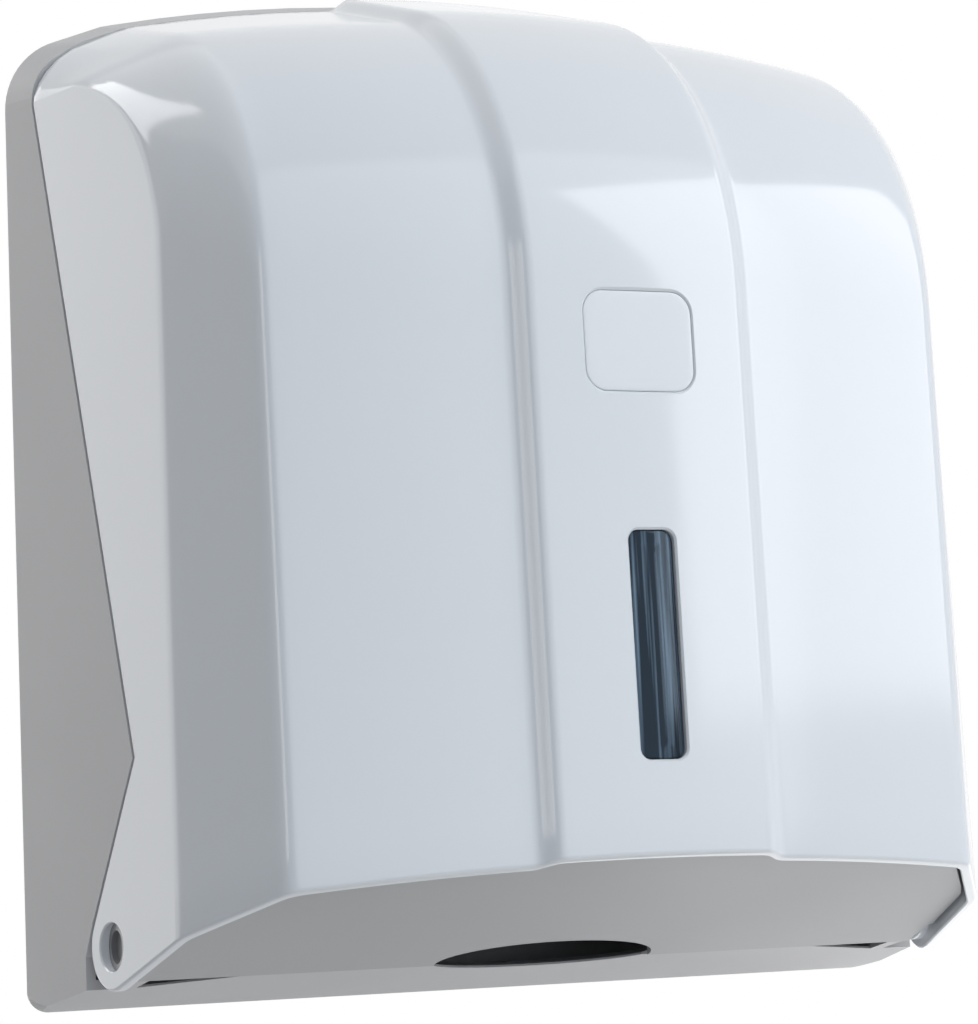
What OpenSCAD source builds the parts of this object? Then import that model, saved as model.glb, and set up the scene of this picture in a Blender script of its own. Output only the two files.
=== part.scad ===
// Wall dispenser for folded paper towels: grey rear shell, white swinging cover, sloped tray.
// X runs across, Y into the wall and Z up. The wall is the plane Y = 0 and depth is counted
// forward from it, so a depth d lies at Y = -d. Heights in the sizes are counted from the rear
// bottom edge. The finished parts are set down so that the wall screws' centre is the origin.

/* [Form] */
// Width across the wall face, at the bottom
body_w = 266; // [256:1:280]
// Depth from the wall to the middle of the bowed front
front_d = 126.6; // [122:0.2:132]
// How far the front falls back from the middle to the shoulder
bow_drop = 12.6; // [9:0.2:15]
// Half width of the bowed front, out to the side chamfer
shoulder_x = 100; // [94:1:104]
// Depth of the side panels, out to the side chamfer
side_d = 86.5; // [82:0.5:92]
// Inward taper of the side panels towards the front, in degrees
side_taper = 9; // [7:0.25:10]
// Inward lean of the side panels towards the top, in degrees
side_lean = 0.8; // [0:0.1:1.2]
// Fall of the top towards the front on the centre line, in degrees
mid_slope = 19; // [16:0.5:20]
// Fall of the top towards the front at the shoulder, in degrees
shoulder_slope = 17; // [15:0.5:18]
// Fall of the top towards the front at the side panels, in degrees
side_slope = 12; // [9:0.5:14]
// Height of the rear top edge on the centre line
mid_h = 290.8; // [286:0.2:296]
// How much lower the rear top edge is at the shoulder than in the middle
shoulder_fall = 11.3; // [8:0.1:14]
// How much lower the rear top edge is at the side panels than in the middle
side_fall = 29.3; // [25:0.1:33]
// Radius from front to top on the centre line
mid_r = 91; // [80:1:96]
// Radius from front to top at the shoulder
shoulder_r = 86; // [80:1:90]
// Radius from front to top at the side panels
side_r = 56; // [48:1:60]
// How far the rounding of the shoulder edges reaches to each side
shoulder_soft = 3.5; // [2:0.25:8]
// How far the rounding of the side panels' edges reaches to each side
ridge_soft = 2.5; // [1.5:0.25:4]
// Radius of the rear top corners, seen from the front
corner_r = 23; // [18:1:26]
// How much lower the top of the rear corners is than the rear top edge in the middle
corner_fall = 15.3; // [13:0.1:18]
// Radius of the rear bottom corners
foot_r = 6; // [4:0.5:6.5]

/* [Walls] */
// Wall of the white cover
cover_wall = 3; // [2.4:0.1:3.4]
// Wall of the grey shell
shell_wall = 2.6; // [2.2:0.1:3]
// Thickness of the plate on the wall
plate_t = 3; // [2.6:0.1:4]

/* [Raised middle panel] */
// Width of the raised face
panel_w = 61; // [50:1:68]
// Width of each sloped step beside it
panel_step = 5; // [4:0.5:7]
// Height of the panel above the bowed front
panel_h = 3.5; // [2.5:0.25:4.5]

/* [Parting line] */
// Depth of the shell's rim at the top
rim_d = 17; // [16:0.2:18]
// How far below the side panels' rear height the rim turns into the sloped side edge
rim_fall = 11.2; // [10:0.2:14]
// Depth of the widest point of the wedge side
kink_d = 64.4; // [60:0.2:68]
// Height of the widest point of the wedge side
kink_z = 64.5; // [60:0.5:70]
// Gap between the shell and the cover along the parting line
parting_gap = 0.6; // [0.4:0.1:1]

/* [Hinge] */
// Depth of the pivot
pivot_d = 49.3; // [47:0.1:51]
// Height of the pivot
pivot_z = 16; // [15:0.25:18]
// Radius of the cover's ears around the pivot
ear_r = 11.5; // [10.5:0.25:12.5]
// Thickness of the boss inside each ear
ear_boss_t = 1.5; // [1:0.25:2]
// Radius of the hinge pins
pin_r = 6.3; // [5:0.1:6.8]
// Radial clearance of the pins in the ears
pin_clear = 0.08; // [0.05:0.01:0.1]
// Radial clearance of the pins in the lugs
pin_seat = 0.02; // [0.01:0.01:0.05]
// How far the pins' ends lie below the ears' faces
pin_recess = 1.5; // [0.8:0.1:1.8]
// Radius of the pins' shanks in the lugs
shank_r = 3; // [2.6:0.1:3.2]
// How far the shanks' snap ends stand out beyond the lugs' bores
snap_lip = 0.5; // [0.3:0.05:0.7]
// Length of the snap ends
snap_len = 2; // [1.5:0.25:3]
// Thickness of the shell's hinge lugs
lug_t = 4; // [3.4:0.2:4.6]
// Radius of the hinge lugs around the pivot
lug_r = 5.8; // [5.2:0.1:5.9]
// Side gap between lug and ear
side_gap = 0.4; // [0.3:0.05:0.6]

/* [Underside] */
// Rise of the cover's lower rim towards the front, in degrees
rim_rise = 19; // [16:0.5:21]
// Depth of the shell's bottom ledge
ledge_d = 47; // [45:0.5:48]
// Rise of the ledge from the wall to its front edge
ledge_rise = 7; // [6:0.25:8]
// Width of the slit between ledge and tray
slit_w = 2; // [1.5:0.25:3]
// Distance from the centre at which the ledge's edge begins to fall back towards the ears
notch_x = 84; // [82:1:94]
// How far the ledge's edge has fallen back at the hinge lugs
notch_d = 13; // [8:0.5:15]
// Thickness to which the ledge's edge is feathered at the outlet and by the ears
feather_t = 0.6; // [0.5:0.1:1.2]
// How far the feathering reaches from the edge
feather_d = 7; // [5:0.5:8]
// How far the tray lies above the cover's lower rim
tray_lift = 3; // [2:0.25:4]
// Thickness of the tray
tray_t = 2.4; // [2:0.2:3]
// Gap between the tray's edge and the cover
tray_gap = 1.2; // [0.8:0.1:1.8]
// Width of the oval outlet
outlet_w = 66; // [58:1:74]
// Length of the oval outlet from back to front
outlet_len = 26; // [22:0.5:28]
// Depth of the outlet's middle
outlet_d = 50; // [49:0.25:51]
// Distance of the tray's tabs from the centre
tab_x = 70; // [62:1:80]
// Width of the tray's tabs
tab_w = 20; // [16:1:24]
// How far the tabs reach back over the ledge
tab_len = 15; // [13:0.5:18]
// Height of the slide rails on the tray
tray_rail_h = 2.5; // [1.5:0.25:3.5]

/* [Window] */
// Width of the level window
window_w = 13.5; // [11:0.5:16]
// Height of the level window
window_h = 60; // [50:1:68]
// Height of the window's middle
window_z = 86; // [80:1:92]
// Radius of the window's corners
window_r = 3; // [2:0.25:4]
// Width of the lens flange behind the window
lens_lap = 3; // [2:0.25:4]
// Thickness of the lens flange
lens_t = 1.8; // [1.4:0.1:2.4]
// Clearance of the lens in the window
lens_clear = 0.15; // [0.1:0.05:0.3]
// How far the lens lies below the panel's face
lens_recess = 0.7; // [0.4:0.1:1]

/* [Badge] */
// Width of the bare badge
badge_w = 32; // [26:1:38]
// Height of the bare badge
badge_h = 27; // [22:1:32]
// Distance of the badge's middle below the rear top edge
badge_fall = 124.8; // [118:0.2:132]
// Radius of the badge's corners
badge_r = 6; // [4:0.5:8]
// Thickness of the badge
badge_t = 0.8; // [0.6:0.1:1]
// Depth of the badge's seat in the panel, in which the badge lies a little sunk
badge_seat = 1.4; // [1.2:0.1:1.5]
// Clearance around the badge
badge_clear = 0.15; // [0.1:0.05:0.3]

/* [Lock] */
// Depth of the lock's axis in the shell's top rim
lock_d = 9; // [8.8:0.1:9.2]
// Radius of the lock's barrel
barrel_r = 4.4; // [4:0.1:4.6]
// Length of the barrel below its seat
barrel_len = 9; // [8:0.5:10]
// Radius of the barrel's flange
flange_r = 5.4; // [5:0.1:5.5]
// Thickness of the barrel's flange
flange_t = 1.2; // [1:0.1:1.5]
// Clearance around the lock in its seat
lock_clear = 0.2; // [0.1:0.05:0.25]
// Half width of the block that carries the lock
block_x = 8; // [7:0.5:10]
// Radius over the corners of the ring nut
nut_r = 5.7; // [5.4:0.1:5.8]
// Thickness of the ring nut
nut_t = 3; // [2.5:0.25:3.5]
// Radius of the rotor
plug_r = 3.2; // [2.8:0.1:3.4]
// Radial clearance of the rotor in the barrel
plug_clear = 0.06; // [0.04:0.01:0.1]
// Radius of the rotor's end that carries washer and cam
plug_end_r = 2; // [1.8:0.1:2.3]
// Width of the key slot
key_w = 1.2; // [1:0.1:1.6]
// Length of the key slot
key_len = 4.6; // [4:0.2:5.2]
// Depth of the key slot
key_deep = 5; // [3:0.5:6]
// Thickness of the stop washer
washer_t = 1; // [0.8:0.1:1.4]
// Thickness of the hook cam
cam_t = 2; // [1.6:0.1:2.6]
// Width of the hook cam's arm and lobe
cam_w = 6; // [5.5:0.25:6.5]
// Reach of the hook cam's arm from the rotor's axis
cam_len = 18; // [17:0.5:19]
// Reach of the hook cam's lobe to the side
lobe_len = 14; // [13:0.5:15]
// Play between the locked lobe and the cover's catch
catch_gap = 0.6; // [0.4:0.1:1]
// Thickness of the catch on the cover
catch_t = 3.4; // [3:0.2:4]
// Width of the catch on the cover
catch_w = 4; // [3:0.25:5]

/* [Screws] */
// Radius of the small screws
screw_r = 1.6; // [1.4:0.1:1.8]
// Radius of the small screws' heads
screw_head_r = 3; // [2.8:0.1:3.4]
// Thickness of the small screws' heads
screw_head_t = 2; // [1.6:0.1:2.4]
// Clearance around the small screws
screw_clear = 0.1; // [0.05:0.05:0.2]
// Skin left below the blind holes of the small screws
screw_skin = 0.6; // [0.5:0.1:0.8]
// Radius of the screw that holds the cam
cam_screw_r = 1; // [0.9:0.1:1.2]
// Length of the screw that holds the cam
cam_screw_len = 4; // [3:0.5:5]

/* [Wall fixing] */
// Height of the wall screws' centre above the rear bottom edge
mount_h = 150; // [140:1:160]
// Distance between the wall screws across
mount_x = 180; // [160:1:200]
// Distance between the wall screws up
mount_z = 160; // [130:1:170]
// Radius of the wall screw holes
mount_r = 2.75; // [2.25:0.05:3]
// Radius of the pads around the wall screw holes
pad_r = 9; // [7:0.5:11]
// Height of the pads above the plate
pad_t = 2; // [1:0.5:3]
// Distance of the stack rails from the centre
rail_x = 62; // [55:1:75]
// Width of the stack rails
rail_w = 3; // [2.4:0.2:4]
// Height of the stack rails above the plate
rail_t = 5; // [4:0.5:7]
// Lower end of the stack rails
rail_low = 40; // [35:1:60]
// Distance of the stack rails' upper end below the rear top edge
rail_fall = 66; // [55:1:80]

/* [Hidden] */
$fn = 64;
grey = [0.62, 0.62, 0.63];
white = [0.93, 0.94, 0.96];
clear = [0.25, 0.3, 0.38, 0.6];
metal = [0.75, 0.75, 0.77];
far = 400;
arc_steps = 14;
bow_steps = 7;
corner_steps = 15;
soft_steps = 4;

// Heights that follow the height of the rear top edge
shoulder_h = mid_h - shoulder_fall;
side_h = mid_h - side_fall;
corner_h = mid_h - corner_fall;
rim_z = side_h - rim_fall;
badge_z = mid_h - badge_fall;
rail_high = mid_h - rail_fall;
// Directions of the outward normals in plan, counted from straight ahead
bow_angle = atan(2 * bow_drop / shoulder_x);
chamfer_angle = atan2(front_d - bow_drop - side_d, plan_x(side_d, 0) - shoulder_x);
side_angle = 90 - side_taper;
step_angle = atan2(panel_h, panel_step);
// Half width of the side panels' outer face at a depth and a height
function plan_x(d, z) = body_w / 2 - d * tan(side_taper) - z * tan(side_lean);
// Shift across and back of a plan corner between two faces when both move in by inset
function corner_x(a, b, inset) = inset * (sin(a) + sin(b)) / (1 + cos(b - a));
function corner_d(a, b, inset) = inset * (cos(a) + cos(b)) / (1 + cos(b - a));
// Front depth, top radius, rear height and top slope of the form at a distance from the centre line
function bow_section(x) = let(u = pow(x / shoulder_x, 2))
  [front_d - bow_drop * u, mid_r - (mid_r - shoulder_r) * u, mid_h - (mid_h - shoulder_h) * u,
   mid_slope - (mid_slope - shoulder_slope) * u];
side_section = [side_d, side_r, side_h, side_slope];
// Centre of a section's rounding from front to top
function round_centre(s) = let(c = s[0] - s[1])
  [c, s[2] - s[1] * cos(s[3]) - tan(s[3]) * (c + s[1] * sin(s[3]))];
// Height of the sloped top at a depth, for a section raised by lift
function top_at(s, lift, d) = let(c = round_centre(s), r = s[1] + lift)
  c[1] + r * cos(s[3]) + tan(s[3]) * (c[0] + r * sin(s[3]) - d);
// Side-view outline of a section raised by lift, from depth d0 and height z0, pulled back by trim
function outline(s, lift, trim, d0, z0) = let(c = round_centre(s), r = s[1] + lift) concat(
  [[d0, z0], [c[0] + r - trim, z0]],
  [for (i = [0:arc_steps]) let(a = i * (90 - s[3]) / arc_steps)
    [c[0] + r * cos(a) - trim * cos(a), c[1] + r * sin(a)]],
  [[d0, top_at(s, lift, d0)]]);
// Point on the soft corner from a by way of b to c
function soft(a, b, c, q) = (1 - q) * (1 - q) * a + 2 * q * (1 - q) * b + q * q * c;
// Section of the bowed front at a distance from the centre line, as points in space
function bow_points(x, inset, d0, z0) = let(
  lift = -inset * sqrt(1 + pow(x / shoulder_x * tan(bow_angle), 2)))
  [for (p = outline(bow_section(x), lift, 0, d0, z0)) [x, -p[0], p[1]]];
// Outline of the side panel, moved in by inset and pulled in further within its plane
function side_points(inset, pull, d0, z0) = let(
  trim = corner_d(chamfer_angle, side_angle, inset) - inset)
  [for (p = outline(side_section, -inset - pull, trim, d0, z0))
    [plan_x(p[0], p[1]) - inset / cos(side_taper), -p[0], p[1]]];
// Points of the right half of the form, moved in by inset, from depth d0 and height z0
function half_points(inset, d0, z0) = let(
  edge_x = shoulder_x - corner_x(bow_angle, chamfer_angle, inset),
  before = bow_points(edge_x - shoulder_soft, inset, d0, z0),
  shoulder = bow_points(edge_x, inset, d0, z0),
  ridge = side_points(inset, 0, d0, z0),
  beyond = side_points(inset, ridge_soft, d0, z0),
  last = len(ridge) - 1,
  corner_z = corner_h - corner_r)
  concat(
    [for (k = [0:bow_steps]) each bow_points(k / bow_steps * (edge_x - shoulder_soft), inset, d0, z0)],
    [ridge[0], shoulder[last]],
    [for (i = [1:last - 1]) let(
      across_chamfer = ridge[i] - shoulder[i],
      t_shoulder = shoulder_soft / norm(across_chamfer),
      t_ridge = ridge_soft / norm(across_chamfer))
      each [for (q = [1:soft_steps]) each [
        soft(before[i], shoulder[i], shoulder[i] + across_chamfer * t_shoulder, q / soft_steps),
        soft(ridge[i] - across_chamfer * t_ridge, ridge[i], beyond[i], (q - 1) / (soft_steps - 1))]]],
    [for (k = [0:corner_steps]) let(a = k * 90 / corner_steps, r = corner_r - inset)
      [plan_x(d0, corner_z) - corner_r + r * cos(a), -d0, corner_z + r * sin(a)]]);
// Points of the whole form
function form_points(inset, d0, z0) =
  [for (p = half_points(inset, d0, z0)) each [p, [-p[0], p[1], p[2]]]];
// Points of the raised middle panel, moved in by inset, with its edges sunk into the form
function panel_points(inset, d0, z0) = let(back = inset * tan(step_angle / 2), sink = 0.4)
  [for (s = [-1, 1]) each concat(
    [for (x = [0, panel_w / 4, panel_w / 2 - back])
      each [for (p = outline(bow_section(x), panel_h - inset, 0, d0, z0)) [s * x, -p[0], p[1]]]],
    let(x = panel_w / 2 + panel_step - back + sink / tan(step_angle))
      [for (p = outline(bow_section(x), -inset - sink, 0, d0, z0)) [s * x, -p[0], p[1]]])];
// Point where the line from p meets the circle of radius r about the pivot as a tangent, at its rear
function ear_tangent(p, r) = let(v = p - pivot, a = atan2(v[1], v[0]) + acos(r / norm(v)))
  pivot + r * [cos(a), sin(a)];

pivot = [pivot_d, pivot_z];
// Lower rim of the cover: the line that touches the ears from below
rim_touch = pivot + ear_r * [sin(rim_rise), -cos(rim_rise)];
function rim_at(d) = rim_touch[1] + (d - rim_touch[0]) * tan(rim_rise);
function ledge_at(d) = ledge_rise * d / ledge_d;
ledge_t = shell_wall / cos(atan2(ledge_rise, ledge_d));
function tray_at(d) = rim_at(d) + tray_lift;
tray_rise_t = tray_t / cos(rim_rise);
tray_back = ledge_d + slit_w;
tray_rail_x = outlet_w / 2 + 6;
tray_rail_d = side_d + 20;
// Stations along the hinge axis, from the ear inwards
ear_face_x = plan_x(pivot_d, pivot_z);
ear_inner_x = plan_x(pivot_d + ear_r, pivot_z + ear_r) - cover_wall / cos(side_taper) - ear_boss_t;
lug_x = ear_inner_x - side_gap - lug_t;
notch_end = lug_x - 0.5;
shell_foot_d = pivot_d - ear_r - 3;
boss_r = pin_r + 2.6;
// Depth of the raised panel's face and of its inner face, on the centre line
panel_d = front_d + panel_h;
panel_inner_d = panel_d - cover_wall;
lens_gap = 0.05;
lens_seat_d = panel_inner_d + 0.3;
// Lock: its seat is a level floor sunk into the rim, and its pieces are counted down from there
block_d = rim_d - parting_gap - 0.2;
seat_z = top_at(bow_section(0), 0, lock_d + flange_r + lock_clear) - 0.3;
block_floor = seat_z - shell_wall;
plug_end = -barrel_len - 0.3;
cam_top = plug_end - washer_t;
cam_floor = cam_top - cam_t;
fit_gap = 0.05;
nut_floor = -shell_wall - fit_gap - nut_t;
// Catch: a fin below the cover's top whose foot stands just behind the locked lobe
catch_front = lock_d + cam_len - cam_w - catch_gap;
catch_back = catch_front - catch_t;
catch_floor = seat_z + cam_floor - 2;
catch_roof = seat_z + cam_top + 2;
catch_end = catch_front + 10;
function under_top(d) = top_at(bow_section(0), panel_h - cover_wall, d) + 1;
// Tray screws: on the middle of the tabs
tab_screw_d = ledge_d - tab_len / 2;
tab_gap = 0.1;
head_gap = 0.08;
screw_len = tray_t + shell_wall - screw_skin;

// Sets the finished piece down with the wall screws' centre at the origin
module at_wall() translate([0, 0, -mount_h]) children();
// Extrudes a side view (depth, height) across the part, between two distances from the centre
module across(x0, x1) translate([x1, 0, 0]) rotate([90, 0, -90]) linear_extrude(x1 - x0) children();
// Extrudes a front view forward, between two depths
module forward(d0, d1) translate([0, -d0, 0]) rotate([90, 0, 0]) linear_extrude(d1 - d0) children();
// Mirrors a piece to both sides
module both() {
  children();
  mirror([1, 0, 0]) children();
}
module rounded(w, h, r) {
  square([w - 2 * r, h], center = true);
  square([w, h - 2 * r], center = true);
  for (x = [-1, 1], y = [-1, 1]) translate([x * (w / 2 - r), y * (h / 2 - r)]) circle(r);
}
// Lofts the convex form that spans a set of section points
module loft(points) hull() polyhedron(points, [[for (i = [0:len(points) - 1]) i]]);
module form(inset, d0, z0) loft(form_points(inset, d0, z0));
module panel(inset, d0, z0) loft(panel_points(inset, d0, z0));
// Bore or pin along the hinge axis
module pivot_rod(r, x0, x1) translate([x0, -pivot_d, pivot_z]) rotate([0, 90, 0])
  cylinder(h = x1 - x0, r = r);
// Side view of what belongs to the cover, grown by g
module cover_side(g) {
  kink = [kink_d - g / cos(atan2(kink_d - rim_d, rim_z - kink_z)), kink_z];
  touch = pivot + (ear_r + g) * [sin(rim_rise), -cos(rim_rise)];
  polygon([[rim_d - g, far], [rim_d - g, rim_z], kink, ear_tangent(kink, ear_r + g), pivot, touch,
    [far, touch[1] + (far - touch[0]) * tan(rim_rise)], [far, far]]);
  translate(pivot) circle(ear_r + g);
}
// Side view of what belongs to the shell's walls
module shell_side() difference() {
  polygon([[0, 0], [shell_foot_d, ledge_at(shell_foot_d)], [shell_foot_d, pivot_z - 2],
    [shell_foot_d + 5, pivot_z + 8], [kink_d, pivot_z + 8], [kink_d, far], [0, far]]);
  cover_side(parting_gap);
}
// Frame of the lock: origin on its seat, axis upright
module lock_frame() translate([0, -lock_d, seat_z]) children();
// Frame in the ledge's underside, with its origin on the centre line at a depth
module ledge_frame(d) translate([0, -d, ledge_at(d)])
  rotate([-atan2(ledge_rise, ledge_d), 0, 0]) children();
// Frame of the right tray screw: axis square to the ledge, origin lift above the ledge's underside
module tab_frame(lift) ledge_frame(tab_screw_d) translate([tab_x, 0, lift]) children();
// Outline of the outlet
module outlet_oval() scale([outlet_w / 2, outlet_len / 2]) circle(1);

// Gusset on ledge and plate that carries a hinge pin
module shell_lug() difference() {
  across(lug_x, lug_x + lug_t) {
    polygon([[0, ledge_t / 2], [ledge_d - 2, ledge_at(ledge_d - 2) + ledge_t / 2], pivot - [0, lug_r],
      pivot + [0, lug_r], [pivot_d / 2, pivot_z + ear_r], [0, pivot_z + 2 * ear_r]]);
    translate(pivot) circle(lug_r);
  }
  pivot_rod(shank_r + pin_seat, lug_x - 1, lug_x + lug_t + 1);
}

// Opening of a given outline in the ledge, with its edge feathered from above
module ledge_opening() {
  translate([0, 0, -1]) linear_extrude(shell_wall + 2) children();
  hull() {
    translate([0, 0, feather_t]) linear_extrude(0.1) children();
    translate([0, 0, shell_wall + 0.1]) linear_extrude(1) offset(delta = feather_d) children();
  }
}

module back_shell() color(grey) at_wall() difference() {
  union() {
    difference() {
      intersection() {
        form(0, 0, 0);
        across(-body_w, body_w) shell_side();
      }
      intersection() {
        form(shell_wall, plate_t, -1);
        across(-body_w, body_w) polygon([[0, ledge_t], [ledge_d, ledge_rise + ledge_t],
          [far, ledge_rise + ledge_t], [far, far], [0, far]]);
      }
      both() translate([plan_x(0, 0) - foot_r, 0, 0]) forward(-1, far) difference() {
        translate([0, -foot_r]) square(2 * foot_r);
        translate([0, foot_r]) circle(foot_r);
      }
    }
    across(-lug_x - lug_t, lug_x + lug_t)
      polygon([[0, 0], [ledge_d, ledge_rise], [ledge_d, ledge_rise + ledge_t], [0, ledge_t]]);
    both() {
      shell_lug();
      translate([rail_x, 0, 0]) forward(plate_t - 0.5, plate_t + rail_t)
        translate([-rail_w / 2, rail_low]) square([rail_w, rail_high - rail_low]);
      for (z = [-1, 1]) translate([mount_x / 2, 0, mount_h + z * mount_z / 2])
        forward(0, plate_t + pad_t) circle(pad_r);
    }
    across(-block_x, block_x) polygon([[0, block_floor], [block_d, block_floor],
      [block_d, top_at(bow_section(0), -1, block_d)], [0, top_at(bow_section(0), -1, 0)]]);
  }
  for (x = [-1, 1], z = [-1, 1]) translate([x * mount_x / 2, 0, mount_h + z * mount_z / 2])
    forward(-1, plate_t + pad_t + 1) circle(mount_r);
  both() tab_frame(screw_skin) cylinder(h = shell_wall, r = screw_r + screw_clear);
  ledge_frame(outlet_d) ledge_opening() outlet_oval();
  both() intersection() {
    ledge_frame(ledge_d) ledge_opening()
      polygon([[notch_x, -1], [notch_x, 0], [lug_x + 2, notch_d], [lug_x + 2, -1]]);
    translate([0, -far / 2, -far / 2]) cube([notch_end, far, far]);
  }
  lock_frame() {
    cylinder(h = far, r = flange_r + lock_clear);
    translate([0, 0, -barrel_len]) cylinder(h = far, r = barrel_r + fit_gap);
  }
}

module towel_tray() color(grey) at_wall() difference() {
  union() {
    intersection() {
      across(-body_w, body_w) polygon([[tray_back, tray_at(tray_back)], [far, tray_at(far)],
        [far, tray_at(far) + tray_rise_t], [tray_back, tray_at(tray_back) + tray_rise_t]]);
      union() {
        form(cover_wall + tray_gap, 0, -1);
        panel(cover_wall + tray_gap, 0, -1);
      }
    }
    both() {
      across(tab_x - tab_w / 2, tab_x + tab_w / 2) tab_side();
      across(tray_rail_x, tray_rail_x + rail_w) polygon([[tray_back + 2, tray_at(tray_back + 2) + 0.5],
        [tray_rail_d, tray_at(tray_rail_d) + 0.5],
        [tray_rail_d, tray_at(tray_rail_d) + tray_rise_t + tray_rail_h],
        [tray_back + 2, tray_at(tray_back + 2) + tray_rise_t + tray_rail_h]]);
    }
  }
  translate([0, -outlet_d, -1]) linear_extrude(far) outlet_oval();
  both() {
    translate([ear_inner_x - tray_gap / 2, -pivot_d - ear_r - 1, -1]) linear_extrude(far) square(far);
    tab_frame(shell_wall / 2) cylinder(h = tray_t + shell_wall, r = screw_r + screw_clear);
  }
}
// Side view of a tab: it leaves the tray and lies on the ledge
module tab_side() {
  low = ledge_t + tab_gap;
  joint = tray_back + 7;
  polygon([[ledge_d - tab_len, ledge_at(ledge_d - tab_len) + low],
    [ledge_d + 1, ledge_at(ledge_d + 1) + low], [tray_back + 1, tray_at(tray_back + 1) + 0.5],
    [joint, tray_at(joint) + 0.5],
    [joint, tray_at(joint) + tray_rise_t + 0.4], [ledge_d + 1, ledge_at(ledge_d + 1) + low + tray_t],
    [ledge_d - tab_len, ledge_at(ledge_d - tab_len) + low + tray_t]]);
}
module tray_screw() tab_frame(shell_wall + tab_gap + tray_t + head_gap) {
  cylinder(h = screw_head_t, r = screw_head_r);
  translate([0, 0, -screw_len]) cylinder(h = screw_len + 1, r = screw_r);
}
module tray_screw_left() color(metal) at_wall() mirror([1, 0, 0]) tray_screw();
module tray_screw_right() color(metal) at_wall() tray_screw();

// Drum in the ear, shank in the lug, and a split snap end behind the lug
module hinge_pin() difference() {
  union() {
    pivot_rod(pin_r, ear_inner_x - side_gap + fit_gap, ear_face_x - pin_recess);
    pivot_rod(shank_r, lug_x - snap_len, ear_face_x - pin_recess - 1);
    pivot_rod(shank_r + snap_lip, lug_x - snap_len, lug_x - fit_gap);
  }
  pivot_rod(pin_r * 0.7, ear_face_x - pin_recess - 1.5, ear_face_x);
  translate([lug_x - snap_len - 1, -pivot_d - far / 2, pivot_z - 0.6]) cube([snap_len + lug_t, far, 1.2]);
}
module hinge_pin_left() color(grey) at_wall() mirror([1, 0, 0]) hinge_pin();
module hinge_pin_right() color(grey) at_wall() hinge_pin();

module front_cover() color(white) at_wall() difference() {
  union() {
    intersection() {
      union() {
        difference() {
          union() {
            form(0, 0, 0);
            panel(0, 0, 0);
          }
          form(cover_wall, -1, -1);
          panel(cover_wall, -1, -1);
        }
        both() pivot_rod(boss_r, ear_inner_x, ear_face_x - cover_wall / 2);
      }
      across(-body_w, body_w) cover_side(0);
    }
    across(-lobe_len, -lobe_len + catch_w) polygon([[catch_back, under_top(catch_back)],
      [catch_back, catch_floor], [catch_front, catch_floor], [catch_front, catch_roof],
      [catch_end, under_top(catch_end)]]);
  }
  both() pivot_rod(pin_r + pin_clear, ear_inner_x - 1, ear_face_x + 5);
  translate([0, 0, window_z]) {
    forward(panel_inner_d - 3, panel_d + 1) rounded(window_w, window_h, window_r);
    forward(panel_inner_d - 3, lens_seat_d) rounded(window_w + 2 * lens_lap + 2 * lens_clear,
      window_h + 2 * lens_lap + 2 * lens_clear, window_r + lens_lap);
  }
  translate([0, 0, badge_z]) forward(panel_d - badge_seat, panel_d + 1) rounded(badge_w, badge_h, badge_r);
}
module window_lens() color(clear) at_wall() translate([0, 0, window_z]) {
  forward(lens_seat_d - lens_gap - lens_t, lens_seat_d - lens_gap)
    rounded(window_w + 2 * lens_lap, window_h + 2 * lens_lap, window_r + lens_lap);
  forward(lens_seat_d - lens_t, panel_d - lens_recess)
    rounded(window_w - 2 * lens_clear, window_h - 2 * lens_clear, window_r - lens_clear);
}
module blank_badge() color(white) at_wall() translate([0, 0, badge_z])
  forward(panel_d - badge_seat, panel_d - badge_seat + badge_t)
    rounded(badge_w - 2 * badge_clear, badge_h - 2 * badge_clear, badge_r - badge_clear);

module lock_barrel() color(metal) at_wall() lock_frame() difference() {
  union() {
    cylinder(h = flange_t, r = flange_r);
    translate([0, 0, -barrel_len]) cylinder(h = barrel_len + flange_t, r = barrel_r);
  }
  translate([0, 0, -barrel_len - 1]) cylinder(h = barrel_len + flange_t + 2, r = plug_r + plug_clear);
}
module lock_nut() color(metal) at_wall() lock_frame() translate([0, 0, nut_floor]) difference() {
  cylinder(h = nut_t, r = nut_r, $fn = 6);
  translate([0, 0, -1]) cylinder(h = nut_t + 2, r = barrel_r + fit_gap);
}
module lock_plug() color(metal) at_wall() lock_frame() difference() {
  union() {
    translate([0, 0, plug_end]) cylinder(h = flange_t - lock_clear - plug_end, r = plug_r);
    translate([0, 0, cam_floor]) cylinder(h = plug_end - cam_floor + 1, r = plug_end_r);
  }
  translate([-key_w / 2, -key_len / 2, flange_t - key_deep]) cube([key_w, key_len, far]);
  translate([0, 0, cam_floor - 1]) cylinder(h = cam_screw_len + 1.5, r = cam_screw_r + fit_gap);
}
module stop_washer() color(metal) at_wall() lock_frame() translate([0, 0, cam_top]) difference() {
  union() {
    cylinder(h = washer_t, r = barrel_r);
    translate([0, -cam_w / 4, 0]) cube([barrel_r + 1.5, cam_w / 2, washer_t]);
  }
  translate([0, 0, -1]) cylinder(h = washer_t + 2, r = plug_end_r + fit_gap);
}
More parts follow.
